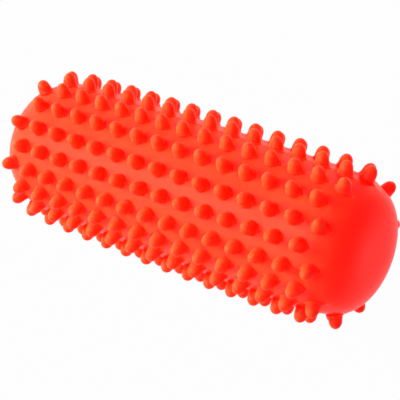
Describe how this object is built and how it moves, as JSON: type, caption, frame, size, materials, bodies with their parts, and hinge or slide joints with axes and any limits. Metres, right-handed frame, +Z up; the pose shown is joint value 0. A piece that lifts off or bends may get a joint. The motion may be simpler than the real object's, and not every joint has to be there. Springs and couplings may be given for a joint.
{
  "type": "massage roller",
  "caption": "Air-filled massage roller: a soft, slightly bulging cylinder with shouldered ends and staggered rows of blunt knobs, and a push-in air valve sunk in one end.",
  "frame": {"origin": "middle of the footprint, on the surface that the lowest two rows of knobs stand on", "axes": "+X along the roller's axis towards the plain end, so that the valve is at the -X end; +Z up"},
  "size_m": [0.18, 0.0712, 0.0713],
  "materials": {
    "soft_vinyl": "satin",
    "firm_vinyl": "satin",
    "plug_plastic": "satin"
  },
  "bodies": {
    "roller": {"roller_skin": "soft_vinyl", "valve_seat": "firm_vinyl"},
    "stopper": {"valve_stopper": "plug_plastic"}
  },
  "joints": [
    {"name": "stopper_pull", "type": "slide", "parent": "roller", "child": "stopper", "axis": [-1, 0, 0], "range_m": [0, 0.012]}
  ]
}
